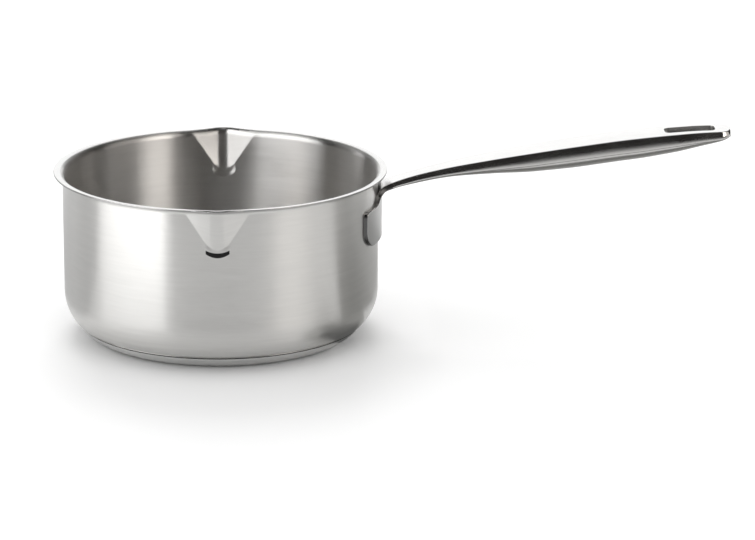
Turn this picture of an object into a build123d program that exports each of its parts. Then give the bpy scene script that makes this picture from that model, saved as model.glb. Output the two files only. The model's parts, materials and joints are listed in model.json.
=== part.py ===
from build123d import *
import os
from math import cos, radians, sin, sqrt, tan

os.makedirs("parts", exist_ok=True)

# Milk pan, in millimetres. The origin is on the pan's axis where the base
# rests, +Z is up, the handle runs along +X and the two spouts face +Y and -Y.

# Body: one pressed sheet, from the flat floor up to the flared rim.
inner_diameter = 160.0
sheet = 0.8
pan_height = 87.2
corner_radius = 21.6
corner_angle = 51.0
heel_radius = 10.0
flare_radius = 3.5
lip_width = 1.9

# Spouts: a V pressed outwards through rim and wall, on both sides. It narrows
# from the rim to a waist, and from there runs down more steeply to its tip.
spout_angle = 20.0
valley_radius = 10.5
spout_half_width = 18.4
spout_waist_half_width = 6.4
spout_tip_half_width = 5.6
spout_height = 22.7
spout_waist_rise = 6.0
spout_tip_drop = 3.1
spout_lip_width = 0.9
spout_side_margin = 2.0

# Base: an aluminium core under the floor, closed in by a magnetic steel cap.
core_thickness = 4.2
core_angle = 57.0
core_lip_angle = 1.5
cap_sheet = 0.5
cap_inset = 19.3
cap_corner_radius = 14.5
cap_angle = 59.5

# Handle: one hollow casting with a curved pad, a bent neck and a boat-shaped
# grip. Its places are measured outwards from the wall and down from the rim.
neck_reach = 17.2
pad_width = 70.0
pad_height = 19.4
pad_drop = 15.0
pad_thickness = 2.4
pad_low_corner = 9.0
pad_high_corner = 2.5

# The neck turns out of the pad. Each share states how far it has turned, how
# wide it is, and how closely it still follows the round wall.
neck_width = 16.4
neck_thickness = 3.6
neck_angle = 68.0
neck_bend_radius = 6.6
neck_bend_lift = 1.4
neck_root_inset = 0.3
neck_root_depth = 3.3
neck_root_share = 2.6
neck_shares = [
    (0, 1.95, 1),
    (0.33, 1.38, 0.6),
    (0.67, 1.14, 0.3),
    (1, 1, 0.1),
]

# Each share along the grip is of its length, rise, width, side and belly.
grip_length = 166.0
grip_drop = 3.1
grip_rise = 24.7
grip_width = 25.0
grip_side = 7.0
grip_belly = 6.1
grip_shares = [
    (0, 0, 0.61, 0.37, 0.36),
    (0.096, 0.172, 0.67, 0.45, 0.42),
    (0.24, 0.377, 0.83, 0.67, 0.66),
    (0.384, 0.553, 0.96, 0.885, 0.94),
    (0.534, 0.713, 1, 1, 1),
    (0.684, 0.852, 0.99, 0.985, 0.98),
    (0.804, 0.93, 0.943, 0.9, 0.86),
    (0.912, 0.984, 0.852, 0.71, 0.57),
]
top_crown = 0.4
top_edge_radius = 1.0
tip_width = 18.8
tip_corner_radius = 6.0
tip_side = 4.2
tip_belly = 2.2
tip_end_side = 2.6
tip_end_belly = 0.7

# The hanging slot goes through the tip, and the grip is hollow in front of it.
slot_length = 26.0
slot_width = 11.0
slot_corner = 3.0
slot_to_tip = 8.5
grip_wall = 1.8

# Welds: discs that carry the pad just clear of the wall.
weld_gap = 0.4
weld_radius = 3.0
weld_columns = 4
weld_rows = 2
weld_column_angle = 11.0
weld_row_pitch = 9.0

seat_clearance = 0.03
overrun = 5.0
quarter_turns = (0, 30, 60, 90)

wall_radius = inner_diameter / 2 + sheet
floor_height = cap_sheet + core_thickness
heel_height = floor_height + heel_radius
corner_height = heel_height + (corner_radius - heel_radius) * sin(radians(corner_angle))
corner_centre = wall_radius - corner_radius
heel_centre = corner_centre + (corner_radius - heel_radius) * cos(radians(corner_angle))
flare_height = pan_height - sheet - flare_radius
flare_centre = wall_radius + flare_radius
rim_radius = flare_centre + lip_width


def skin_arcs(inset):
    """Draw one skin of the body, from the axis to the foot of the flare."""
    Line((0, floor_height + inset), (heel_centre, floor_height + inset))
    CenterArc((heel_centre, heel_height), heel_radius - inset, -90, 90 - corner_angle)
    CenterArc((corner_centre, corner_height), corner_radius - inset, -corner_angle, corner_angle)
    Line((wall_radius - inset, corner_height), (wall_radius - inset, flare_height))
    CenterArc((flare_centre, flare_height), flare_radius + inset, 90, 90)


def fall_back(radius, half_width):
    """How far a round wall falls back at this distance to the side."""
    return radius - sqrt(radius**2 - half_width**2)


def spout_face(half_width, growth):
    """Section of a spout whose borders lie on the wall, grown outwards."""
    slope = tan(radians(spout_angle))
    border = wall_radius - fall_back(wall_radius, half_width)
    peak = border + half_width * slope + growth / cos(radians(spout_angle))
    reach = half_width + spout_side_margin
    with BuildSketch() as section:
        with BuildLine():
            Polyline(
                (0, peak),
                (reach, peak - reach * slope),
                (reach, wall_radius / 2),
                (-reach, wall_radius / 2),
                (-reach, peak - reach * slope),
                close=True,
            )
        make_face()
        valley = section.vertices().sort_by(Axis.Y)[-1]
        fillet(valley, radius=valley_radius + growth)
    return section.sketch


def spout_tool(inset):
    """The closed solid that one skin of both spouts bounds."""
    waist_height = pan_height - spout_height + spout_waist_rise
    widening = (spout_half_width - spout_waist_half_width) / (pan_height - waist_height)
    tip_height = pan_height - spout_height + inset
    tip = spout_tip_half_width - 2 * inset
    rounding = valley_radius * (1 / cos(radians(spout_angle)) - 1)
    tip_reach = tip * tan(radians(spout_angle)) - fall_back(wall_radius, tip) - rounding
    with BuildPart() as tool:
        with BuildSketch(Plane.XY.offset(tip_height - spout_tip_drop)):
            add(spout_face(tip, -tip_reach - inset))
        with BuildSketch(Plane.XY.offset(tip_height)):
            add(spout_face(tip, -inset))
        with BuildSketch(Plane.XY.offset(waist_height)):
            add(spout_face(spout_waist_half_width, -inset))
        for turn in quarter_turns:
            turned = flare_radius + inset
            height = flare_height + turned * sin(radians(turn))
            half_width = spout_waist_half_width + widening * (height - waist_height)
            with BuildSketch(Plane.XY.offset(height)):
                add(spout_face(half_width, flare_radius - turned * cos(radians(turn))))
        loft(ruled=True)
        lip = 0 if inset else spout_lip_width
        with BuildSketch(Plane.XY.offset(flare_height + flare_radius + inset)):
            add(spout_face(spout_half_width, flare_radius + lip))
        extrude(amount=overrun if inset else sheet)
        mirror(about=Plane.XZ)
    return tool.part


outer_spouts = spout_tool(0)
inner_spouts = spout_tool(sheet)

# Body
with BuildPart() as pan_body:
    with BuildSketch(Plane.XZ):
        with BuildLine():
            skin_arcs(0)
            Polyline(
                (flare_centre, pan_height - sheet),
                (rim_radius, pan_height - sheet),
                (rim_radius, pan_height),
                (0, pan_height),
                (0, floor_height),
            )
        make_face()
    revolve(axis=Axis.Z)
    add(outer_spouts)
    with BuildSketch(Plane.XZ):
        with BuildLine():
            skin_arcs(sheet)
            Polyline(
                (flare_centre, pan_height),
                (flare_centre, pan_height + overrun),
                (0, pan_height + overrun),
                (0, floor_height + sheet),
            )
        make_face()
    revolve(axis=Axis.Z, mode=Mode.SUBTRACT)
    add(inner_spouts, mode=Mode.SUBTRACT)

# Base core: it fills the space between the floor and the cap.
cap_flat_radius = wall_radius - cap_inset
cap_centre = (cap_flat_radius, cap_corner_radius)
core_low = cap_sheet + seat_clearance
core_high = floor_height - seat_clearance
with BuildPart() as base_core:
    with BuildSketch(Plane.XZ):
        with BuildLine():
            Line((0, core_high), (heel_centre, core_high))
            heel = (heel_centre, heel_height)
            CenterArc(heel, heel_radius + seat_clearance, -90, 90 - corner_angle)
            corner = (corner_centre, corner_height)
            upper = CenterArc(corner, corner_radius + seat_clearance, -corner_angle, core_lip_angle)
            lower = CenterArc(cap_centre, cap_corner_radius - core_low, -90, core_angle)
            Line(upper @ 1, lower @ 1)
            Polyline((0, core_high), (0, core_low), (cap_flat_radius, core_low))
        make_face()
    revolve(axis=Axis.Z)

# Base cap: a shallow steel dish whose edge turns up over the core.
with BuildPart() as base_cap:
    with BuildSketch(Plane.XZ):
        with BuildLine():
            outside = CenterArc(cap_centre, cap_corner_radius, -90, cap_angle)
            inside = CenterArc(cap_centre, cap_corner_radius - cap_sheet, -90, cap_angle)
            Line(outside @ 1, inside @ 1)
            Polyline((cap_flat_radius, 0), (0, 0), (0, cap_sheet), (cap_flat_radius, cap_sheet))
        make_face()
    revolve(axis=Axis.Z)


def handle_section(half_width, side, belly, crown):
    """Cross-section of the handle: arched top, upright sides and a round belly."""
    with BuildSketch() as section:
        with BuildLine():
            ThreePointArc((-half_width, -crown), (0, 0), (half_width, -crown))
            Line((half_width, -crown), (half_width, -crown - side))
            EllipticalCenterArc((0, -crown - side), half_width, belly, 180, arc_size=180)
            Line((-half_width, -crown - side), (-half_width, -crown))
        make_face()
        top = section.vertices().sort_by(Axis.Y)[-2:]
        fillet(top, radius=top_edge_radius)
    return section.sketch


def handle_plane(along, up, lean):
    """Plane across the handle, its origin on the top line and leaning by an angle."""
    return Plane((along, 0, up), x_dir=(0, 1, 0), z_dir=(cos(radians(lean)), 0, sin(radians(lean))))


# Handle
pad_inner_radius = wall_radius + weld_gap
pad_outer_radius = pad_inner_radius + pad_thickness
pad_top = pan_height - pad_drop
pad_middle = pad_top - pad_height / 2
neck_bend_height = pad_top + neck_bend_lift
grip_start = wall_radius + neck_reach
tip_place = grip_start + grip_length
grip_start_height = pan_height - grip_drop
with BuildPart() as handle:
    with BuildSketch(Plane.YZ) as pad_outline:
        with Locations((0, pad_middle)):
            Rectangle(pad_width, pad_height)
        corners = pad_outline.vertices().group_by(Axis.Y)
        fillet(corners[0], radius=pad_low_corner)
        fillet(corners[-1], radius=pad_high_corner)
    extrude(amount=pad_outer_radius)
    with BuildSketch(Plane.XY.offset(pad_top)):
        Circle(pad_outer_radius)
        Circle(pad_inner_radius, mode=Mode.SUBTRACT)
    extrude(amount=-pad_height, mode=Mode.INTERSECT)

    # One smooth loft runs from a root inside the pad to the rounded tip.
    half_width = neck_root_share * neck_width / 2
    sag = fall_back(pad_inner_radius, half_width)
    root_place = pad_inner_radius + neck_root_inset
    with BuildSketch(handle_plane(root_place, neck_bend_height - neck_root_depth, 90)):
        add(handle_section(half_width, pad_thickness - 2 * neck_root_inset, sag, -sag))
    for turned, width, following in neck_shares:
        turn = radians(neck_angle * turned)
        along = pad_inner_radius + neck_bend_radius * (1 - cos(turn))
        up = neck_bend_height + neck_bend_radius * sin(turn)
        half_width = width * neck_width / 2
        thickness = pad_thickness + (neck_thickness - pad_thickness) * turned
        sag = following * fall_back(pad_inner_radius, half_width)
        belly = sag + (1 - following) * thickness / 2
        with BuildSketch(handle_plane(along, up, 90 - neck_angle * turned)):
            add(handle_section(half_width, thickness + sag - belly, belly, -sag))
    for length, rise, width, side, belly in grip_shares:
        along = grip_start + grip_length * length
        up = grip_start_height + grip_rise * rise
        half_width = width * grip_width / 2
        with BuildSketch(handle_plane(along, up, 0)):
            add(handle_section(half_width, side * grip_side, belly * grip_belly, top_crown))
    for turn in quarter_turns:
        along = tip_place - tip_corner_radius * (1 - sin(radians(turn)))
        closed = 1 - cos(radians(turn))
        half_width = tip_width / 2 - tip_corner_radius * closed
        side = tip_side + (tip_end_side - tip_side) * closed
        belly = tip_belly + (tip_end_belly - tip_belly) * closed
        with BuildSketch(handle_plane(along, grip_start_height + grip_rise, 0)):
            add(handle_section(half_width, side, belly, top_crown))
    loft()

    # The cavity follows the grip at the thickness of its wall.
    for length, rise, width, side, belly in grip_shares[1:-2]:
        along = grip_start + grip_length * length
        up = grip_start_height + grip_rise * rise - grip_wall
        half_width = width * grip_width / 2 - grip_wall
        side = side * grip_side - grip_wall
        belly = belly * grip_belly - grip_wall
        with BuildSketch(handle_plane(along, up, 0)):
            add(handle_section(half_width, side, belly, top_crown))
    loft(mode=Mode.SUBTRACT)

    with BuildSketch(Plane.XY.offset(grip_start_height)):
        with Locations((tip_place - slot_to_tip - slot_length / 2, 0)):
            RectangleRounded(slot_length, slot_width, slot_corner)
    extrude(amount=2 * grip_rise, mode=Mode.SUBTRACT)

# Welds
with BuildPart() as handle_welds:
    for column in range(weld_columns):
        turn = weld_column_angle * (column - (weld_columns - 1) / 2)
        outwards = (cos(radians(turn)), sin(radians(turn)), 0)
        sideways = (-sin(radians(turn)), cos(radians(turn)), 0)
        with BuildSketch(Plane((0, 0, pad_middle), x_dir=sideways, z_dir=outwards)):
            with GridLocations(weld_row_pitch, weld_row_pitch, 1, weld_rows):
                Circle(weld_radius)
    extrude(amount=pad_outer_radius)
    with BuildSketch(Plane.XY.offset(pad_top)):
        Circle(pad_inner_radius - seat_clearance)
        Circle(wall_radius + seat_clearance, mode=Mode.SUBTRACT)
    extrude(amount=-pad_height, mode=Mode.INTERSECT)

pan_body.part.label = "pan_body"
base_core.part.label = "base_core"
base_cap.part.label = "base_cap"
handle.part.label = "handle"
handle_welds.part.label = "handle_welds"

export_step(pan_body.part, "parts/pan_body.step")
export_step(base_core.part, "parts/base_core.step")
export_step(base_cap.part, "parts/base_cap.step")
export_step(handle.part, "parts/handle.step")
export_step(handle_welds.part, "parts/handle_welds.step")
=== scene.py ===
import json
import math

import bpy
import numpy as np
from mathutils import Matrix, Vector

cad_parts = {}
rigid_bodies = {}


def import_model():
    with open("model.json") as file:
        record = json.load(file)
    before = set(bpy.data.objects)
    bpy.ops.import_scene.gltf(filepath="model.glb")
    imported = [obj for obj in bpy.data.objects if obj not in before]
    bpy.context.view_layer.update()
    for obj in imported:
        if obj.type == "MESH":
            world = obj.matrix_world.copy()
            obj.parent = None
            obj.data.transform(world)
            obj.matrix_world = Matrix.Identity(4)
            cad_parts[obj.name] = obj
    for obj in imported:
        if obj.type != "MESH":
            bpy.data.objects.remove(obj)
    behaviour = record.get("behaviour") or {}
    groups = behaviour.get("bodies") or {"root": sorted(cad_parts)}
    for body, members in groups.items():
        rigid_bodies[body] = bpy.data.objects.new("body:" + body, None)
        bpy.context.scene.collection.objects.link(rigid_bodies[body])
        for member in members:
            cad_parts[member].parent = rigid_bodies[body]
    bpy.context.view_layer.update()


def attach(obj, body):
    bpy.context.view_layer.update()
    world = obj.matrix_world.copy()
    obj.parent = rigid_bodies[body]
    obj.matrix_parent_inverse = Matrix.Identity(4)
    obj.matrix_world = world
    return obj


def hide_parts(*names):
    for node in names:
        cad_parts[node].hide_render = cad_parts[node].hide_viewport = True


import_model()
mm = 0.001


# Small helpers for working in edit mode.

def clearSelection():
    if bpy.context.object and bpy.context.object.mode != "OBJECT":
        bpy.ops.object.mode_set(mode="OBJECT")
    bpy.ops.object.select_all(action="DESELECT")


def pick(obj):
    clearSelection()
    obj.select_set(True)
    bpy.context.view_layer.objects.active = obj


def applyAll(obj):
    pick(obj)
    for modifier in list(obj.modifiers):
        bpy.ops.object.modifier_apply(modifier=modifier.name)


def smoothShade(obj, shape):
    pick(obj)
    bpy.ops.object.shade_smooth_by_angle(angle=math.radians(shape["smoothBelow"]))


def roundEdges(obj, shape):
    rounded = obj.modifiers.new("edges", "BEVEL")
    rounded.width = shape["edgeRound"] * mm
    rounded.segments = shape["edgeSteps"]
    rounded.limit_method = "ANGLE"
    rounded.angle_limit = math.radians(shape["sharpFrom"])


def giveSheet(obj, shape):
    # The drawn skin gets its thickness inwards, and its cut edges are rounded.
    thick = obj.modifiers.new("sheet", "SOLIDIFY")
    thick.thickness = shape["sheet"] * mm
    thick.offset = -1
    thick.use_even_offset = True
    roundEdges(obj, shape)
    applyAll(obj)


def drawLine(name, points):
    # One vertex is pulled along the points, as when a profile is traced by hand.
    clearSelection()
    bpy.ops.mesh.primitive_plane_add(size=mm)
    obj = bpy.context.object
    obj.name = name
    bpy.ops.object.mode_set(mode="EDIT")
    bpy.ops.mesh.select_all(action="SELECT")
    bpy.ops.mesh.merge(type="CENTER")
    bpy.ops.transform.translate(value=points[0])
    for start, end in zip(points, points[1:]):
        bpy.ops.mesh.extrude_region_move(TRANSFORM_OT_translate={"value": end - start})
    return obj


def closeSurface(mergeWithin):
    bpy.ops.mesh.select_all(action="SELECT")
    bpy.ops.mesh.remove_doubles(threshold=mergeWithin * mm)
    bpy.ops.mesh.normals_make_consistent(inside=False)
    bpy.ops.object.mode_set(mode="OBJECT")


def spinLine(turns, mergeWithin=0.01):
    # The profile goes round in stretches, each with its own fineness.
    bpy.ops.mesh.select_all(action="SELECT")
    for degrees, steps in turns:
        bpy.ops.mesh.spin(steps=steps, angle=math.radians(degrees), center=(0, 0, 0), axis=(0, 0, 1))
    closeSurface(mergeWithin)


def arcPoints(centre, radius, startTurn, endTurn, steps):
    turns = [math.radians(startTurn + (endTurn - startTurn) * i / steps) for i in range(steps + 1)]
    return [(centre[0] + radius * math.cos(t), centre[1] + radius * math.sin(t)) for t in turns]


# Camera: it stands where the photographed one stood.

cameraView = {
    "place": (40.449, -1806.107, 549.467),
    "right": (0.99976, -0.02148, 0.00423),
    "up": (0.00185, 0.27532, 0.96135),
    "ahead": (0.02181, 0.96111, -0.27530),
    "lens": 171.66,
    "sensor": 36,
    "farthest": 50,
}

camera = bpy.data.objects.new("camera", bpy.data.cameras.new("camera"))
bpy.context.scene.collection.objects.link(camera)
axes = [Vector(cameraView[k]) for k in ("right", "up")] + [-Vector(cameraView["ahead"])]
turned = Matrix(axes).transposed().to_4x4()
camera.matrix_world = Matrix.Translation(Vector(cameraView["place"]) * mm) @ turned
camera.data.lens = cameraView["lens"]
camera.data.sensor_width = cameraView["sensor"]
camera.data.clip_end = cameraView["farthest"]
bpy.context.scene.camera = camera
print("camera set")


# Pan body: the outer skin is spun, the pouring lips are pressed, and then the sheet gets its thickness.

panShape = {
    "sheet": 0.8,
    "floor": 4.7,
    "floorRings": (0, 8, 20, 34, 48, 58),
    # Round stretches of the profile: radius and height of the centre, then the radius of the arc.
    "heel": (66.5, 14.7, 10.0),
    "corner": (59.2, 23.715, 21.6),
    "cornerTurn": 51.0,
    "flare": (84.3, 83.7, 3.5),
    "arcSteps": (8, 16, 11),
    "wall": 80.8,
    # Rings of the wall: coarse below the pouring lips, fine beside them up to a gap under the flare.
    "lowRings": (26.5, 59.0, 3.2),
    "highRings": (59.3, 0.42),
    "flareGap": 0.3,
    "lip": 1.9,
    "lipRings": (0.33, 0.67, 1),
    # Degrees and steps of each stretch around the axis, fine beside the two pouring lips.
    "turns": ((74, 37), (32, 106), (148, 74), (32, 106), (74, 37)),
    "edgeRound": 0.22,
    "edgeSteps": 3,
    "sharpFrom": 60,
    "smoothBelow": 40,
    "groove": (7.0, 7.65),
    "grooveReach": 72,
    "grooveDepth": 0.5,
}

lipShape = {
    "height": 88.0,
    "angle": 20.0,
    "valley": 10.5,
    "halfWidth": 18.3,
    "narrowing": 0.66,
    # Which points are pressed: degrees from the valley, and mm below the ledge and inside the wall.
    "spread": 20,
    "margin": 1,
    "creaseRound": 0.14,
    "creaseFade": 0.3,
    "lipShare": 0.47,
    # The rim rises and tilts over the lip, in full where the face stands this far out of the wall.
    "fullGap": 3.2,
    "rise": 0.7,
    "riseFrom": 76,
    "riseOver": 11,
    "tilt": 0.22,
    "tiltFrom": 2.2,
    # The boss at the foot of the V: its drop is the share of its height that is lost at its sides.
    "bossHalfWidth": 6.2,
    "bossDepth": 0.6,
    "bossHeight": 4.6,
    "bossDrop": 0.6,
    "bossNear": 0.5,
    "bossLeast": 0.05,
    "bossBlend": 0.25,
    # Height in the middle, and how much higher it is at the sides.
    "ledgeTop": (64.35, 1.5),
    "ledgeFoot": (61.7, 2.2),
}


def softMax(a, b, blend):
    return 0.5 * (a + b + math.sqrt((a - b) ** 2 + blend**2))


def lipReach(turn, z, growth):
    # Distance from the axis of the pressed V face, at a turn away from the valley.
    wall, lean = panShape["wall"], math.radians(lipShape["angle"])
    width = max(0.0, lipShape["halfWidth"] - lipShape["narrowing"] * (lipShape["height"] - z))
    peak = math.sqrt(wall**2 - width**2) + width * math.tan(lean) + growth / math.cos(lean)
    radius = lipShape["valley"] + growth
    centre = peak - radius / math.cos(lean)
    face = peak / (math.cos(turn) + math.tan(lean) * math.sin(turn))
    if face * math.sin(turn) > radius * math.sin(lean):
        return face
    return centre * math.cos(turn) + math.sqrt(max(0, radius**2 - (centre * math.sin(turn)) ** 2))


def bossDepth(side, z):
    # The rounded foot of the V: it ends in a steep ledge and fades out above it.
    square = min(1, side / lipShape["bossHalfWidth"]) ** 2
    ledges = (lipShape["ledgeTop"], lipShape["ledgeFoot"])
    top, foot = (height + bend * square for height, bend in ledges)
    ledge = min(1, max(0, (z - foot) / (top - foot)))
    height = lipShape["bossHeight"] * (1 - lipShape["bossDrop"] * square)
    fade = math.exp(-((max(0, z - top) / height) ** 2))
    return lipShape["bossDepth"] * (1 - square**2) * ledge * fade


def withBoss(raised, boss):
    # The pressed face and its foot run softly into each other where they are close.
    if abs(raised - boss) > lipShape["bossNear"] or boss < lipShape["bossLeast"]:
        return max(raised, boss)
    return softMax(raised, boss, lipShape["bossBlend"] * min(1, boss))


def pressLips(obj):
    # Every point near a lip goes outwards to whichever is further, the wall or the pressed face.
    wall, flareRadius = panShape["wall"], panShape["flare"][2]
    lowest, nearest = lipShape["ledgeFoot"][0] - lipShape["margin"], wall - lipShape["margin"]
    blend = lipShape["creaseRound"]
    for vertex in obj.data.vertices:
        x, y, z = vertex.co / mm
        distance = math.hypot(x, y)
        turn = math.atan2(abs(x), abs(y))
        if z < lowest or distance < nearest or turn > math.radians(lipShape["spread"]):
            continue
        growth = distance - wall
        past = max(0, growth - flareRadius)
        gap = lipReach(turn, z, growth - past + past * lipShape["lipShare"]) - distance
        raised = softMax(gap, 0, blend) - 0.5 * blend * math.exp(-abs(gap) / lipShape["creaseFade"])
        raised = withBoss(raised, bossDepth(distance * math.sin(turn), z))
        high = min(1, max(0, (z - lipShape["riseFrom"]) / lipShape["riseOver"]))
        share = min(1, max(0, gap) / lipShape["fullGap"])
        vertex.co.xy *= (distance + raised) / distance
        vertex.co.z += lipShape["rise"] * mm * high**2 * (3 - 2 * high) * share
        vertex.co.z -= lipShape["tilt"] * mm * share * max(0, growth - lipShape["tiltFrom"])


def pressGroove(obj):
    # The seam above the cap is pressed into the outer skin alone.
    low, high = (z * mm for z in panShape["groove"])
    nearest = panShape["grooveReach"] * mm
    press = {"value": -panShape["grooveDepth"] * mm}
    pick(obj)
    bpy.ops.object.mode_set(mode="EDIT")
    bpy.ops.mesh.select_mode(type="FACE")
    bpy.ops.mesh.select_all(action="DESELECT")
    bpy.ops.object.mode_set(mode="OBJECT")
    for face in obj.data.polygons:
        centre = face.center
        outward = face.normal.x * centre.x + face.normal.y * centre.y > 0
        face.select = bool(low < centre.z < high and outward and centre.xy.length > nearest)
    print("seam faces:", sum(face.select for face in obj.data.polygons))
    bpy.ops.object.mode_set(mode="EDIT")
    bpy.ops.mesh.extrude_region_shrink_fatten(TRANSFORM_OT_shrink_fatten=press)
    bpy.ops.mesh.select_mode(type="VERT")
    bpy.ops.object.mode_set(mode="OBJECT")


def buildPan():
    heelX, heelZ, heelRadius = panShape["heel"]
    cornerX, cornerZ, cornerRadius = panShape["corner"]
    flareX, flareZ, flareRadius = panShape["flare"]
    heelSteps, cornerSteps, flareSteps = panShape["arcSteps"]
    wall, turn = panShape["wall"], panShape["cornerTurn"]
    fineFrom, fineStep = panShape["highRings"]
    profile = [(r, panShape["floor"]) for r in panShape["floorRings"]]
    profile += arcPoints((heelX, heelZ), heelRadius, -90, -turn, heelSteps)
    profile += arcPoints((cornerX, cornerZ), cornerRadius, -turn, 0, cornerSteps)[1:]
    profile += [(wall, z) for z in np.arange(*panShape["lowRings"])]
    profile += [(wall, z) for z in np.arange(fineFrom, flareZ - panShape["flareGap"], fineStep)]
    profile += arcPoints((flareX, flareZ), flareRadius, 180, 90, flareSteps)
    lipRings = [flareX + panShape["lip"] * share for share in panShape["lipRings"]]
    profile += [(r, flareZ + flareRadius) for r in lipRings]
    pan = drawLine("panBody", [Vector((r, 0, z)) * mm for r, z in profile])
    spinLine(panShape["turns"])
    pressLips(pan)
    giveSheet(pan, panShape)
    pressGroove(pan)
    smoothShade(pan, panShape)
    return pan


pan = buildPan()
print("pan body:", len(pan.data.polygons), "faces")


# Base cap: a shallow dish under the core, with its edge turned up.

capShape = {
    "flat": 61.5,
    "flatRings": (0, 10, 25, 40, 54),
    "cornerRadius": 14.5,
    "turn": 56.0,
    "arcSteps": 14,
    "turns": ((360, 240),),
    "sheet": 0.5,
    "edgeRound": 0.12,
    "edgeSteps": 2,
    "sharpFrom": 60,
    "smoothBelow": 40,
}


def buildCap():
    flat, radius = capShape["flat"], capShape["cornerRadius"]
    profile = [(r, 0.0) for r in capShape["flatRings"]]
    profile += arcPoints((flat, radius), radius, -90, capShape["turn"] - 90, capShape["arcSteps"])
    cap = drawLine("baseCap", [Vector((r, 0, z)) * mm for r, z in profile])
    spinLine(capShape["turns"])
    giveSheet(cap, capShape)
    smoothShade(cap, capShape)
    return cap


cap = buildCap()
print("base cap:", len(cap.data.polygons), "faces")


# Handle: a tube of rings is extruded, and each ring then takes its section of the casting.

handleShape = {
    "wallGap": 0.4,
    "padRise": 52.8,
    "padHeight": 19.4,
    "padHalfWidth": 35.0,
    "padLowCorner": 9.0,
    "padHighCorner": 2.6,
    # Straight lift above the pad, radius of the bend, and its turn in degrees.
    "bend": (1.4, 6.6, 68.0),
    "topLine": [(98.0, 84.1), (113.9, 88.35), (137.8, 93.4), (161.7, 97.75), (186.6, 101.7), (211.5, 105.1),
                (231.5, 107.05), (249.4, 108.25), (263.9, 108.6)],
    "spineSteps": (40, 24, 240),
    "tipCorner": 6.4,
    "tipEase": 0.8,
    # From the pad's top edge into the neck: to the side, along the top line, degrees out of the rim.
    "neckFillet": [(17.6, 19.75, 80), (15.8, 20.35, 68), (14.1, 21.2, 58), (12.6, 22.3, 48),
                   (11.35, 23.6, 38), (10.3, 25.05, 29), (9.5, 26.6, 20), (8.95, 28.3, 13),
                   (8.55, 30.1, 8), (8.25, 32.0, 5)],
    "filletFrom": 19.4,
    "gripFrom": 33.5,
    # Rows of the pad's low corner, side, high corner and top edge, of the grip, and of the tip.
    "rowCounts": (8, 6, 5, 9, 112, 8),
    # Where the middle of the row lies at the end of each stretch from the low corner to the fillet.
    "middles": (4.2, 7.6, 9.2, 14.8, 32.0),
    "rowCurve": 2.4,
    # Half the steps across the top face, and the steps down the rounded edge, the band and the low edge.
    "halfSteps": 9,
    "sideSteps": (3, 4, 3),
    "edgeTurn": 78,
    "bandEase": 1.6,
    "lowRound": 0.4,
    "bellyCurve": (2.2, 0.62),
    "mergeWithin": 0.004,
    "smoothLevels": 1,
    "stationNames": ("along", "halfWidth", "depth", "band", "flare", "edge", "follow", "crown"),
    "stations": [
        (0, 35.0, 2.4, 2.0, 0.0, 0.40, 1.0, 0.0),
        (20.8, 16.0, 2.4, 2.0, 0.0, 0.40, 1.0, 0.0),
        (24.0, 10.6, 2.9, 2.3, 0.1, 0.45, 0.6, 0.0),
        (28.6, 8.4, 3.6, 2.3, 0.3, 0.55, 0.2, 0.1),
        (35.0, 7.8, 4.2, 2.4, 0.5, 0.65, 0.0, 0.2),
        (42.0, 7.6, 4.8, 2.6, 0.6, 0.7, 0.0, 0.3),
        (58.5, 8.4, 5.7, 3.1, 0.8, 0.7, 0.0, 0.4),
        (82.9, 10.4, 8.7, 4.5, 0.9, 0.7, 0.0, 0.4),
        (107.2, 12.0, 11.9, 5.8, 1.0, 0.7, 0.0, 0.4),
        (132.4, 12.5, 13.1, 6.2, 1.0, 0.7, 0.0, 0.4),
        (157.5, 12.4, 12.9, 6.3, 1.0, 0.7, 0.0, 0.4),
        (177.6, 11.8, 11.5, 5.5, 0.9, 0.7, 0.0, 0.4),
        (195.5, 10.65, 8.5, 4.3, 0.8, 0.7, 0.0, 0.4),
        (204.0, 9.8, 6.4, 3.6, 0.7, 0.7, 0.0, 0.4),
        (210.2, 9.0, 3.6, 2.8, 0.5, 0.7, 0.0, 0.3),
    ],
}

slotShape = {
    "from": 229.5,
    "to": 255.5,
    "width": 11.0,
    "corner": 3.0,
    "cornerSteps": 8,
    "cutterHeight": 60,
    "cutterMiddle": 100,
    "edgeRound": 0.35,
    "edgeSteps": 3,
    "sharpFrom": 55,
    "smoothBelow": 35,
}

handleInner = panShape["wall"] + handleShape["wallGap"]
stations = dict(zip(handleShape["stationNames"], zip(*handleShape["stations"])))
halfSteps, sideSteps = handleShape["halfSteps"], sum(handleShape["sideSteps"])
topShares = [math.sin(math.pi / 2 * i / halfSteps) for i in range(-halfSteps, halfSteps + 1)]


def smoothCurve(xs, ys, x, startSlope=None):
    # A cubic through all points that never overshoots them.
    steps = [(b - a) for a, b in zip(xs, xs[1:])]
    slopes = [(d - c) / s for c, d, s in zip(ys, ys[1:], steps)]
    tangents = [slopes[0] if startSlope is None else startSlope]
    for before, after, s0, s1 in zip(slopes, slopes[1:], steps, steps[1:]):
        weight = (2 * s1 + s0, 2 * s0 + s1)
        same = before * after > 0
        tangents.append(sum(weight) / (weight[0] / before + weight[1] / after) if same else 0.0)
    tangents.append(slopes[-1])
    i = min(len(steps) - 1, max(0, int(np.searchsorted(xs, x)) - 1))
    t = min(1, max(0, (x - xs[i]) / steps[i]))
    a, b = ys[i], ys[i] + tangents[i] * steps[i] / 3
    d, c = ys[i + 1], ys[i + 1] - tangents[i + 1] * steps[i] / 3
    return a * (1 - t) ** 3 + 3 * b * t * (1 - t) ** 2 + 3 * c * t**2 * (1 - t) + d * t**3


def station(name, along):
    return smoothCurve(stations["along"], stations[name], along)


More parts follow.
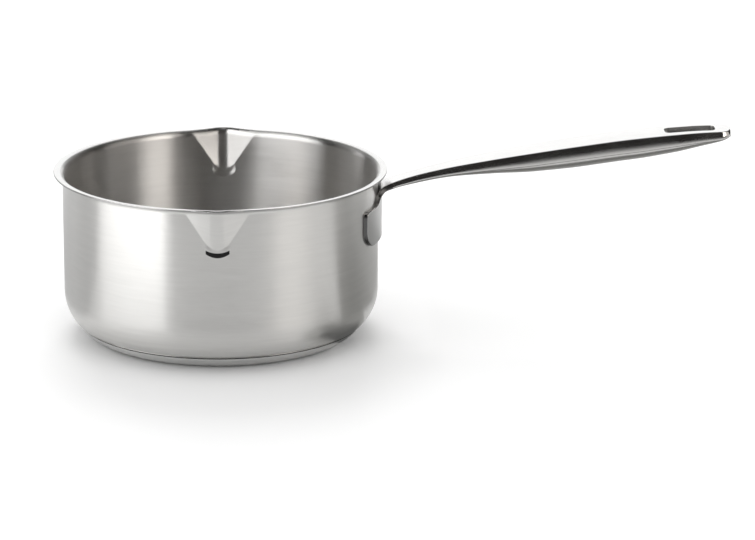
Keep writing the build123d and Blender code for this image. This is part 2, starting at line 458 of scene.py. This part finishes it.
def handleSpine():
    # The top line, from the foot of the pad to the tip, with its distance along it.
    lift, radius, turn = handleShape["bend"]
    padSteps, bendSteps, topSteps = handleShape["spineSteps"]
    top = handleShape["padRise"] + handleShape["padHeight"] + lift
    line = [(handleInner, z) for z in np.linspace(handleShape["padRise"], top, padSteps)]
    line += arcPoints((handleInner + radius, top), radius, 180, 180 - turn, bendSteps)[1:]
    slope = math.tan(math.radians(90 - turn))
    xs, zs = zip(*[line[-1]] + handleShape["topLine"])
    line += [(x, smoothCurve(xs, zs, x, slope)) for x in np.linspace(xs[0], xs[-1], topSteps)[1:]]
    line = np.array(line)
    along = np.concatenate([[0], np.cumsum(np.hypot(*np.diff(line, axis=0).T))])
    return along, line


spineAlong, spineLine = handleSpine()


def spinePoint(along):
    return [np.interp(along, spineAlong, spineLine[:, k]) for k in (0, 1)]


def spineFrame(along, span=1.2):
    # Place and upward normal of the top line, with the normal taken over a short span.
    reach = min(spineAlong[-1], max(0, along))
    x, z = spinePoint(reach)
    a, b = spinePoint(max(0, reach - span)), spinePoint(min(spineAlong[-1], reach + span))
    length = math.hypot(b[0] - a[0], b[1] - a[1])
    ahead = ((b[0] - a[0]) / length, (b[1] - a[1]) / length)
    past = along - reach
    return (x + ahead[0] * past, z + ahead[1] * past), (-ahead[1], ahead[0])


def quarterTurn(steps):
    turns = [(i / steps, math.radians(90 * i / steps)) for i in range(steps + 1)]
    return [(share, math.sin(a), math.cos(a)) for share, a in turns]


def handleRows():
    # Each row is the rim point of its right end, the direction out of the rim, and the place of its middle.
    shape = handleShape
    low, high, top, wide = (shape["pad" + k] for k in ("LowCorner", "HighCorner", "Height", "HalfWidth"))
    lowSteps, sideRows, highSteps, topRows, gripRows, tipSteps = shape["rowCounts"]
    foot, side, corner, edge, neck = shape["middles"]
    across = wide - high - shape["filletFrom"]
    rows = []
    for share, sine, cosine in quarterTurn(lowSteps):
        rows.append((wide - low + low * sine, low - low * cosine, sine, -cosine, foot * share))
    for share in np.linspace(0, 1, sideRows + 1)[1:]:
        rows.append((wide, low + (top - high - low) * share, 1.0, 0.0, foot + (side - foot) * share))
    for share, sine, cosine in quarterTurn(highSteps)[1:]:
        middle = side + (corner - side) * share
        rows.append((wide - high + high * cosine, top - high + high * sine, cosine, sine, middle))
    for share in np.linspace(0, 1, topRows + 1)[1:]:
        rows.append((wide - high - across * share, top, 0.0, 1.0, corner + (edge - corner) * share))
    for i, (y, u, degrees) in enumerate(shape["neckFillet"]):
        a = math.radians(degrees)
        middle = edge + (neck - edge) * (i + 1) / len(shape["neckFillet"])
        rows.append((y, u, math.cos(a), math.sin(a), middle))
    tip = shape["tipCorner"]
    end = spineAlong[-1] - tip
    for u in np.linspace(shape["gripFrom"], end, gripRows):
        rows.append((station("halfWidth", u), u, 1.0, 0.0, u))
    start = station("halfWidth", end)
    for share, sine, cosine in quarterTurn(tipSteps)[1:]:
        middle = end + tip * share ** shape["tipEase"]
        rows.append((start - tip * (1 - cosine), end + tip * sine, cosine, sine, middle))
    return rows


def castPoint(y, along, down):
    # A point of the casting: so far to the side, along the top line and below the top face.
    follow, crown, width = (station(name, along) for name in ("follow", "crown", "halfWidth"))
    (x, z), (nx, nz) = spineFrame(along)
    behind = handleInner - math.sqrt(max(0, handleInner**2 - y * y))
    height = follow * behind - crown * min(1, (y / width) ** 2) - down
    return Vector((x + nx * height, y, z + nz * height)) * mm


def lowRound(along):
    # Radius between the band and the belly: no larger than the room between them.
    return min(handleShape["lowRound"], station("depth", along) - station("band", along))


def sideProfile(along, k):
    # Outward and downward steps from the edge of the top face to the edge of the belly.
    edgeSteps, bandSteps, lowSteps = handleShape["sideSteps"]
    band, flare, edge = (station(name, along) for name in ("band", "flare", "edge"))
    a = math.radians(handleShape["edgeTurn"] * min(k, edgeSteps) / edgeSteps)
    out, down = edge * math.sin(a), edge * (1 - math.cos(a))
    if k <= edgeSteps:
        return out, down
    if k <= edgeSteps + bandSteps:
        t = (k - edgeSteps) / bandSteps
        eased = 1 - (1 - t) ** handleShape["bandEase"]
        return out + (edge + flare - out) * eased, down + (band - down) * t
    low = lowRound(along)
    a = math.radians(90 * (k - edgeSteps - bandSteps) / lowSteps)
    return edge + flare - low * (1 - math.cos(a)), band + low * math.sin(a)


def bellyDown(along, share):
    inner, outer = handleShape["bellyCurve"]
    start = station("band", along) + lowRound(along)
    return start + (station("depth", along) - start) * (1 - abs(share) ** inner) ** outer


def castRing(row):
    # A closed section: across the top face, down one side, back along the belly and up the other side.
    endY, endU, outY, outU, middle = row
    edge, low = station("edge", endU) + station("flare", endU), lowRound(endU)
    topY, topU = endY - outY * edge, endU - outU * edge
    lowY, lowU = endY - outY * low, endU - outU * low
    curve = handleShape["rowCurve"]
    sides = [sideProfile(endU, k) for k in range(1, sideSteps)]
    points = []
    for share in topShares:
        points.append(castPoint(topY * share, middle + (topU - middle) * abs(share) ** curve, 0))
    for out, down in sides:
        points.append(castPoint(topY + outY * out, topU + outU * out, down))
    for share in reversed(topShares):
        along = middle + (lowU - middle) * abs(share) ** curve
        points.append(castPoint(lowY * share, along, bellyDown(along, share)))
    for out, down in reversed(sides):
        points.append(castPoint(-topY - outY * out, topU + outU * out, down))
    return points


def closeEnd(handle, row):
    # A patch closes an end of the tube and carries the rounded edge across it.
    endY, endU, outU = row[0], row[1], row[3]
    topU = endU - outU * (station("edge", endU) + station("flare", endU))
    lowU = endU - outU * lowRound(endU)
    bpy.ops.object.select_all(action="DESELECT")
    bpy.ops.mesh.primitive_grid_add(x_subdivisions=2 * halfSteps, y_subdivisions=sideSteps, size=2)
    patch = bpy.context.object
    for vertex in patch.data.vertices:
        share = topShares[round((vertex.co.x + 1) * halfSteps)]
        k = round((vertex.co.y + 1) / 2 * sideSteps)
        out, down = sideProfile(endU, k)
        if k == sideSteps:
            vertex.co = castPoint(endY * share, lowU, bellyDown(lowU, share))
        else:
            vertex.co = castPoint(endY * share, topU + outU * out, down)
    patch.select_set(True)
    handle.select_set(True)
    bpy.context.view_layer.objects.active = handle
    bpy.ops.object.join()


def buildHandle():
    rows = handleRows()
    rings = [castRing(row) for row in rows]
    count = len(rings[0])
    clearSelection()
    bpy.ops.mesh.primitive_circle_add(vertices=count, radius=1, rotation=(0, math.pi / 2, 0))
    bpy.ops.object.transform_apply(location=False, rotation=True, scale=False)
    handle = bpy.context.object
    handle.name = "handleCasting"
    bpy.ops.object.mode_set(mode="EDIT")
    bpy.ops.mesh.select_all(action="SELECT")
    for i in range(len(rings) - 1):
        bpy.ops.mesh.extrude_region_move(TRANSFORM_OT_translate={"value": (1, 0, 0)})
    bpy.ops.object.mode_set(mode="OBJECT")
    for vertex in handle.data.vertices:
        row = round(vertex.co.x)
        place = round(math.atan2(vertex.co.z, vertex.co.y) / (2 * math.pi) * count) % count
        vertex.co = rings[row][place]
    closeEnd(handle, rows[0])
    closeEnd(handle, rows[-1])
    pick(handle)
    bpy.ops.object.mode_set(mode="EDIT")
    closeSurface(handleShape["mergeWithin"])
    smooth = handle.modifiers.new("smooth", "SUBSURF")
    smooth.levels = smooth.render_levels = handleShape["smoothLevels"]
    applyAll(handle)
    return handle


def cutSlot(handle):
    shape = slotShape
    middle = (shape["from"] + shape["to"]) / 2
    clearSelection()
    bpy.ops.mesh.primitive_cube_add(size=1, location=(middle * mm, 0, shape["cutterMiddle"] * mm))
    cutter = bpy.context.object
    cutter.scale = ((shape["to"] - shape["from"]) * mm, shape["width"] * mm, shape["cutterHeight"] * mm)
    bpy.ops.object.transform_apply(location=True, rotation=False, scale=True)
    bpy.ops.object.mode_set(mode="EDIT")
    bpy.ops.mesh.select_all(action="DESELECT")
    bpy.ops.object.mode_set(mode="OBJECT")
    for edge in cutter.data.edges:
        a, b = (cutter.data.vertices[i].co for i in edge.vertices)
        edge.select = abs(a.z - b.z) > mm
    bpy.ops.object.mode_set(mode="EDIT")
    bpy.ops.mesh.select_mode(type="EDGE")
    bpy.ops.mesh.bevel(offset=shape["corner"] * mm, segments=shape["cornerSteps"])
    bpy.ops.mesh.select_mode(type="VERT")
    bpy.ops.object.mode_set(mode="OBJECT")
    cut = handle.modifiers.new("slot", "BOOLEAN")
    cut.operation = "DIFFERENCE"
    cut.object = cutter
    cut.solver = "EXACT"
    roundEdges(handle, shape)
    applyAll(handle)
    bpy.data.objects.remove(cutter)
    smoothShade(handle, shape)
    return handle


handle = cutSlot(buildHandle())
print("handle:", len(handle.data.polygons), "faces")


for piece, node in ((pan, "pan_body"), (cap, "base_cap"), (handle, "handle")):
    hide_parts(node)
    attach(piece, "root")


# Floor, surroundings and lamps. Turns go round the pan's axis from the camera's side, to the right.

floorLook = {
    "size": 12.0,
    "colour": (0.95, 0.95, 0.95, 1),
    "roughness": 0.5,
    "specular": 0.2,
    # A glow of its own, which fades out towards the pan between these two distances in m: painted shade round
    # the pan's foot.
    "lift": 0.12,
    "liftFrom": (0.062, 0.1),
}

# A dark shell in m and degrees.
surroundLook = {
    "radius": 4.5,
    "fromTurn": -163,
    "toTurn": 163,
    "lowest": 1,
    "highest": 84,
    "steps": (24, 48),
    "colour": (0.013, 0.012, 0.011),
}

# The background as a light, and as reflections see it overhead, by the height of the direction.
worldLook = {
    "light": 0.88,
    "ceiling": 0.3,
    "ceilingFrom": (0.42, 0.72),
}

# Each panel: two floor points in mm, lowest and highest edge, radiance, colour, and if it lights the floor.
# Those that light the floor aren't seen in reflections, and the others are seen in them alone.
softboxes = {
    "keyLeft": ((-122, -197), (-446, -17), 5, 260, 1.65, (1, 1, 1), False),
    "keyLeftHigh": ((-122, -197), (-446, -17), 260, 700, 3.0, (1, 1, 1), False),
    "fillRight": ((1150, -1380), (1650, -740), 350, 2700, 2.4, (1.0, 0.95, 0.9), False),
    "fillFarRight": ((1650, -740), (1800, 300), 150, 2200, 0.55, (1.0, 0.95, 0.9), False),
    "stripLeft": ((-1450, 900), (-1230, 1200), 100, 1800, 0.9, (1, 1, 1), False),
    "backPanel": ((-1300, 1900), (1700, 1900), 330, 1500, 0.13, (1, 1, 1), False),
    "backLight": ((-700, 1450), (400, 1550), 950, 2900, 3.8, (1, 1, 1), True),
}

# Grey cards on the table, for reflections alone: painted shade, the table darker where reflections see it
# under the handle, round the pan's foot and to its left. Two floor corners in mm, height, colour.
tableCards = {
    "cardUnderHandle": ((110, -42), (420, 40), 0.6, (0.3, 0.3, 0.29)),
    "cardBehindHandle": ((110, 40), (420, 175), 0.6, (0.46, 0.46, 0.45)),
    "cardAtFoot": ((62, -60), (84, -14), 1.2, (0.12, 0.12, 0.12)),
    "cardBesideFoot": ((56, -74), (112, -4), 0.9, (0.42, 0.42, 0.41)),
    "cardLeft": ((-340, -20), (-104, 270), 0.6, (0.7, 0.7, 0.7)),
}


def setInputs(tree, node, inputs):
    for name, value in inputs.items():
        if isinstance(value, bpy.types.NodeSocket):
            tree.links.new(value, node.inputs[name])
        else:
            node.inputs[name].default_value = value
    return node


def addNode(tree, kind, inputs=None, **settings):
    node = tree.nodes.new("ShaderNode" + kind)
    for name, value in settings.items():
        setattr(node, name, value)
    return setInputs(tree, node, inputs or {})


def calculate(tree, operation, *values):
    return addNode(tree, "Math", dict(enumerate(values)), operation=operation).outputs[0]


def mapped(tree, value, fromBand, toBand, **settings):
    limits = {"From Min": fromBand[0], "From Max": fromBand[1], "To Min": toBand[0], "To Max": toBand[1]}
    return addNode(tree, "MapRange", {"Value": value, **limits}, **settings).outputs["Result"]


def mixColours(tree, share, a, b):
    a, b = (value + (1,) if isinstance(value, tuple) else value for value in (a, b))
    return addNode(tree, "Mix", {"Factor": share, "A": a, "B": b}, data_type="RGBA").outputs["Result"]


def newMaterial(name):
    material = bpy.data.materials.new(name)
    material.use_nodes = True
    return material, material.node_tree, material.node_tree.nodes["Principled BSDF"]


def floorMaterial():
    material, tree, shader = newMaterial("paleFloor")
    path = addNode(tree, "LightPath").outputs
    seen = calculate(tree, "MAXIMUM", path["Is Camera Ray"], path["Is Glossy Ray"])
    seen = calculate(tree, "MAXIMUM", seen, path["Is Transmission Ray"])
    place = addNode(tree, "TexCoord").outputs["Object"]
    away = addNode(tree, "VectorMath", {0: place}, operation="LENGTH").outputs["Value"]
    limits = (0.0, floorLook["lift"])
    # Painted shade: the glow is taken away near the pan, so the floor is darker there.
    lift = mapped(tree, away, floorLook["liftFrom"], limits, interpolation_type="SMOOTHSTEP")
    setInputs(tree, shader, {"Base Color": floorLook["colour"], "Roughness": floorLook["roughness"],
                             "Specular IOR Level": floorLook["specular"], "Emission Color": (1, 1, 1, 1),
                             "Emission Strength": calculate(tree, "MULTIPLY", seen, lift)})
    return material


clearSelection()
bpy.ops.mesh.primitive_plane_add(size=floorLook["size"])
floor = bpy.context.object
floor.name = "floor"
floor.data.materials.append(floorMaterial())


def seenInReflections(obj, colour):
    # Black in all light, with a plain glow of its own, and hidden from the camera.
    material, tree, shader = newMaterial(obj.name)
    setInputs(tree, shader, {"Base Color": (0, 0, 0, 1), "Roughness": 1.0, "Specular IOR Level": 0.0,
                             "Emission Color": colour + (1,), "Emission Strength": 1.0})
    obj.visible_camera = obj.visible_diffuse = obj.visible_shadow = False
    obj.data.materials.append(material)


def buildSurround():
    # It stands on the camera's side and is open at the back.
    look = surroundLook
    start = math.radians(look["toTurn"] - 90)
    heightSteps, turnSteps = look["steps"]
    points = arcPoints((0, 0), look["radius"], look["lowest"], look["highest"], heightSteps)
    points = [Vector((r * math.cos(start), r * math.sin(start), z)) for r, z in points]
    shell = drawLine("darkSurround", points)
    spinLine([(look["toTurn"] - look["fromTurn"], turnSteps)])
    seenInReflections(shell, look["colour"])


buildSurround()

for name, ((x0, y0), (x1, y1), height, colour) in tableCards.items():
    middle = ((x0 + x1) / 2 * mm, (y0 + y1) / 2 * mm, height * mm)
    clearSelection()
    bpy.ops.mesh.primitive_plane_add(size=1, location=middle)
    card = bpy.context.object
    card.name = name
    card.scale = ((x1 - x0) * mm, (y1 - y0) * mm, 1)
    bpy.ops.object.transform_apply(location=True, rotation=False, scale=True)
    seenInReflections(card, colour)

for name, ((x0, y0), (x1, y1), low, high, radiance, colour, lightsFloor) in softboxes.items():
    light = bpy.data.lights.new(name, "AREA")
    light.shape = "RECTANGLE"
    light.size, light.size_y = math.hypot(x1 - x0, y1 - y0) * mm, (high - low) * mm
    light.energy = radiance * math.pi * light.size * light.size_y
    light.color = colour
    lamp = bpy.data.objects.new(name, light)
    bpy.context.scene.collection.objects.link(lamp)
    lamp.location = Vector(((x0 + x1) / 2, (y0 + y1) / 2, (low + high) / 2)) * mm
    facing = Vector((y0 - y1, x1 - x0, 0))
    facing = facing if facing.dot(lamp.location) > 0 else -facing
    lamp.rotation_euler = facing.to_track_quat("Z", "Y").to_euler()
    lamp.visible_camera = False
    lamp.visible_diffuse = lightsFloor
    lamp.visible_glossy = not lightsFloor


def buildWorld():
    # Plain white in sight. As a light it is a little weaker, and in reflections it is darker overhead.
    world = bpy.data.worlds.new("studio")
    bpy.context.scene.world = world
    world.use_nodes = True
    tree = world.node_tree
    path = addNode(tree, "LightPath").outputs
    seen = calculate(tree, "MAXIMUM", path["Is Camera Ray"], path["Is Transmission Ray"])
    level = mapped(tree, seen, (0.0, 1.0), (worldLook["light"], 1.0))
    upward = addNode(tree, "SeparateXYZ", {0: addNode(tree, "TexCoord").outputs["Generated"]}).outputs[2]
    overhead = mapped(tree, upward, worldLook["ceilingFrom"], (1.0, worldLook["ceiling"]))
    choice = {"Factor": path["Is Glossy Ray"], "A": level, "B": overhead}
    strength = addNode(tree, "Mix", choice, data_type="FLOAT").outputs["Result"]
    setInputs(tree, tree.nodes["Background"], {"Color": (1, 1, 1, 1), "Strength": strength})


buildWorld()
bpy.context.scene.view_settings.view_transform = "Standard"
print("studio set")


# Steel.

# The range of values that counts, of one noise and of two added.
noiseBand = (0.3, 0.7)
addedBand = (0.7, 1.3)

turnedLook = {
    "colour": (0.625, 0.62, 0.605),
    "streak": 0.93,
    # Scale of the noise to the metre across the lines, and on a unit circle along them.
    "fine": (2600, 7),
    "coarse": (420, 2.5),
    "rough": 0.33,
    "roughBy": 0.05,
    "stretch": 0.85,
    "stretchTurn": 0.25,
    "brush": 0.004,
}

castLook = {
    "size": 60.0,
    "detail": 3.0,
    "streak": 0.94,
    "roughBy": (-0.02, 0.03),
}

# Heights over which the painted shade under the flange comes in, and over which it goes out again.
flangeShadeBands = ((84.6, 85.8), (87.5, 87.7))

# The painted shade on the ledge: softness of its edges, how far out it comes in, and where it ends, as a
# squared share of the boss's half width.
ledgeLook = {
    "soft": 0.1,
    "awayFrom": (70, 72),
    "endsAt": (0.9, 0.96),
}


def addGroup(name, inputs, output):
    group = bpy.data.node_groups.new(name, "ShaderNodeTree")
    for socket, kind in inputs.items():
        group.interface.new_socket(socket, in_out="INPUT", socket_type="NodeSocket" + kind)
    group.interface.new_socket(output, in_out="OUTPUT", socket_type="NodeSocketFloat")
    return group, group.nodes.new("NodeGroupInput").outputs, group.nodes.new("NodeGroupOutput")


def buildTurnedMarks():
    # Fine lines around the axis, as a rotating brush leaves them, without a seam.
    inputs = {"Place": "Vector", "Lines": "Float", "Along": "Float"}
    group, given, made = addGroup("turnedMarks", inputs, "Marks")
    x, y, z = addNode(group, "SeparateXYZ", {0: given["Place"]}).outputs
    flat = addNode(group, "CombineXYZ", {0: x, 1: y}).outputs[0]
    radius = addNode(group, "VectorMath", {0: flat}, operation="LENGTH").outputs["Value"]
    around = addNode(group, "VectorMath", {0: flat}, operation="NORMALIZE").outputs[0]
    stretched = {0: around, "Scale": given["Along"]}
    spread = addNode(group, "VectorMath", stretched, operation="SCALE").outputs[0]
    across = calculate(group, "MULTIPLY", calculate(group, "ADD", radius, z), given["Lines"])
    lift = addNode(group, "CombineXYZ", {2: across}).outputs[0]
    place = addNode(group, "VectorMath", {0: spread, 1: lift}, operation="ADD").outputs[0]
    noise = addNode(group, "TexNoise", {"Vector": place, "Scale": 1.0, "Detail": 3.0, "Roughness": 0.6})
    setInputs(group, made, {"Marks": noise.outputs[0]})
    return group


def buildLedgeShade():
    # 1 on the steep ledge under each pouring lip, where no light gets to.
    group, given, made = addGroup("ledgeShade", {"Place": "Vector"}, "Mask")
    x, y, z = addNode(group, "SeparateXYZ", {0: given["Place"]}).outputs
    share = calculate(group, "MULTIPLY", x, 1 / (lipShape["bossHalfWidth"] * mm))
    square = calculate(group, "MULTIPLY", share, share)
    away = calculate(group, "ABSOLUTE", y)
    soft = ledgeLook["soft"] * mm
    masks = [mapped(group, away, [r * mm for r in ledgeLook["awayFrom"]], (0.0, 1.0)),
             mapped(group, square, ledgeLook["endsAt"], (1.0, 0.0))]
    for name, sides in (("ledgeTop", (1.0, 0.0)), ("ledgeFoot", (0.0, 1.0))):
        height, bend = lipShape[name]
        edge = calculate(group, "MULTIPLY_ADD", square, bend * mm, height * mm)
        masks.append(mapped(group, calculate(group, "SUBTRACT", z, edge), (-soft, soft), sides))
    mask = masks[0]
    for other in masks[1:]:
        mask = calculate(group, "MULTIPLY", mask, other)
    setInputs(group, made, {"Mask": mask})
    return group


turnedMarks = buildTurnedMarks()
ledgeShade = buildLedgeShade()


def turnedSteel(name, **changes):
    look = {**turnedLook, **changes}
    material, tree, shader = newMaterial(name)
    place = addNode(tree, "TexCoord").outputs["Object"]
    marks = []
    for lines, along in (look["fine"], look["coarse"]):
        inputs = {"Place": place, "Lines": lines, "Along": along}
        marks.append(addNode(tree, "Group", inputs, node_tree=turnedMarks).outputs[0])
    fine, coarse = marks
    colour, rough, roughBy = look["colour"], look["rough"], look["roughBy"]
    streaks = tuple(c * look["streak"] for c in colour)
    tone = mixColours(tree, mapped(tree, coarse, noiseBand, (0.0, 1.0)), streaks, colour)
    # Painted shade: the outer wall is darkened in a band just under the flange.
    if "underColour" in look:
        height = addNode(tree, "SeparateXYZ", {0: place}).outputs[2]
        into, out = ([z * mm for z in band] for band in flangeShadeBands)
        into, out = mapped(tree, height, into, (0.0, 1.0)), mapped(tree, height, out, (1.0, 0.0))
        tone = mixColours(tree, calculate(tree, "MULTIPLY", into, out), tone, look["underColour"])
    # Painted shade: the ledge under each pouring lip is made near black in the colour.
    if "ledgeColour" in look:
        mask = addNode(tree, "Group", {"Place": place}, node_tree=ledgeShade).outputs["Mask"]
        tone = mixColours(tree, mask, tone, look["ledgeColour"])
    added = calculate(tree, "ADD", fine, coarse)
    spread = mapped(tree, added, addedBand, (rough - roughBy, rough + roughBy))
    bump = addNode(tree, "Bump", {"Height": fine, "Strength": 1.0, "Distance": look["brush"] * mm})
    tangent = addNode(tree, "Tangent", direction_type="RADIAL", axis="Z")
    setInputs(tree, shader, {"Base Color": tone, "Roughness": spread, "Normal": bump.outputs[0],
                             "Tangent": tangent.outputs[0], "Metallic": 1.0, "Anisotropic": look["stretch"],
                             "Anisotropic Rotation": look["stretchTurn"]})
    return material


def castSteel(name, colour, rough):
    material, tree, shader = newMaterial(name)
    place = addNode(tree, "TexCoord").outputs["Object"]
    inputs = {"Vector": place, "Scale": castLook["size"], "Detail": castLook["detail"]}
    noise = addNode(tree, "TexNoise", inputs).outputs[0]
    streaks = tuple(c * castLook["streak"] for c in colour)
    tone = mixColours(tree, mapped(tree, noise, noiseBand, (0.0, 1.0)), streaks, colour)
    spread = mapped(tree, noise, noiseBand, [rough + by for by in castLook["roughBy"]])
    setInputs(tree, shader, {"Base Color": tone, "Roughness": spread, "Metallic": 1.0})
    return material


# The outer wall carries painted shade: a band under the flange, and the ledge under each pouring lip.
outsideSteel = turnedSteel("outsideSteel", underColour=(0.36, 0.355, 0.35), ledgeColour=(0.02, 0.02, 0.02))
insideSteel = turnedSteel("insideSteel", colour=(0.79, 0.78, 0.765), rough=0.34, stretch=1.0,
                          streak=0.95, brush=0.003)
capSteel = turnedSteel("capSteel", colour=(0.66, 0.66, 0.65))
handleSteel = castSteel("handleSteel", (0.87, 0.865, 0.855), 0.14)
# Painted shade: darker copies of the handle's steel for the faces that look down, the slot's walls and the
# pad; the pad's edge is near black.
bellyShadeSteel = castSteel("bellyShadeSteel", (0.5, 0.495, 0.485), 0.22)
padShadeSteel = castSteel("padShadeSteel", (0.42, 0.42, 0.415), 0.3)
shadeSteel = castSteel("shadeSteel", (0.1, 0.1, 0.1), 0.3)
# Painted shade: the aluminium core is made near black, standing for the shade in the gap between the body and
# the cap.
coreGapShade = castSteel("coreGapShade", (0.04, 0.04, 0.04), 0.5)
# Painted highlight: the top of the flange gets a lighter colour than the outer steel.
rimHighlightSteel = castSteel("rimHighlightSteel", (0.84, 0.84, 0.83), 0.2)
# Painted shade: near black for the seam between the body and the cap, on the body's pressed groove and on the
# cap's edge.
seamShadeSteel = castSteel("seamShadeSteel", (0.03, 0.03, 0.03), 0.6)
weldSteel = castSteel("weldSteel", (0.3, 0.29, 0.28), 0.45)

panSteels = [outsideSteel, insideSteel, seamShadeSteel, rimHighlightSteel]
capSteels = [capSteel, seamShadeSteel]
handleSteels = [handleSteel, bellyShadeSteel, padShadeSteel, shadeSteel]
core, welds = bpy.data.objects["base_core"], bpy.data.objects["handle_welds"]

for piece, materials, slot in ((pan, panSteels, "body_steel"), (cap, capSteels, "cap_steel"),
                               (handle, handleSteels, "handle_steel"), (core, [coreGapShade], None),
                               (welds, [weldSteel], None)):
    piece.data.materials.clear()
    for material in materials:
        piece.data.materials.append(material)

# Limits that tell the faces of a piece apart: parts of a normal, and places in mm.
panFaces = {
    "inward": -0.05,
    "floorNormal": 0.5,
    "floorReach": 79,
    "seam": (6.4, 7.9),
    "seamReach": (71, 73.85),
    "rimNormal": 0.6,
    "rimFrom": 86.9,
}

capFaces = {
    "seamNormal": 0.2,
    "seamFrom": 6.3,
}

handleFaces = {
    "rootHeight": 84,
    "rootReach": 89,
    "padNormal": 0.3,
    "edgeNormal": 0.72,
    "edgeOutward": 0.75,
    "slotMargin": 1,
    "slotHalfWidth": 6.2,
    "slotNormal": 0.5,
    "underNormal": 0.18,
}

# The flange's top takes the painted highlight, and the seam above the cap takes painted shade.
for face in pan.data.polygons:
    centre, normal, reach = face.center, face.normal, face.center.xy.length
    inward = normal.dot(Vector((centre.x, centre.y, 0)).normalized()) < panFaces["inward"]
    onFloor = normal.z > panFaces["floorNormal"] and reach < panFaces["floorReach"] * mm
    onRim = normal.z > panFaces["rimNormal"] and centre.z > panFaces["rimFrom"] * mm
    bands = ((centre.z, panFaces["seam"]), (reach, panFaces["seamReach"]))
    inSeam = all(low * mm < value < high * mm for value, (low, high) in bands)
    steel = rimHighlightSteel if onRim else insideSteel if inward or onFloor else seamShadeSteel if inSeam else outsideSteel
    face.material_index = panSteels.index(steel)

# Painted shade: the cap's upturned edge in the seam takes the near-black steel.
for face in cap.data.polygons:
    onEdge = face.center.z > capFaces["seamFrom"] * mm and face.normal.z > capFaces["seamNormal"]
    face.material_index = capSteels.index(seamShadeSteel if onEdge else capSteel)

margin, halfWidth = handleFaces["slotMargin"], handleFaces["slotHalfWidth"]

# Painted shade: faces that look down, the slot's walls and the pad take darker copies of the handle's steel,
# and the pad's edge takes the near-black one.
for face in handle.data.polygons:
    x, y, z = face.center / mm
    outward = face.normal.dot(Vector((x, y, 0)).normalized())
    upward = face.normal.z
    nearSlot = slotShape["from"] - margin < x < slotShape["to"] + margin and abs(y) < halfWidth
    inSlot = nearSlot and abs(upward) < handleFaces["slotNormal"]
    atRoot = z < handleFaces["rootHeight"] and x < handleFaces["rootReach"]
    onPad = atRoot and upward < handleFaces["padNormal"]
    onEdge = atRoot and upward < handleFaces["edgeNormal"] and outward < handleFaces["edgeOutward"]
    under = inSlot or upward < handleFaces["underNormal"]
    steel = shadeSteel if onEdge else padShadeSteel if onPad else bellyShadeSteel if under else handleSteel
    face.material_index = handleSteels.index(steel)

print("steel set")
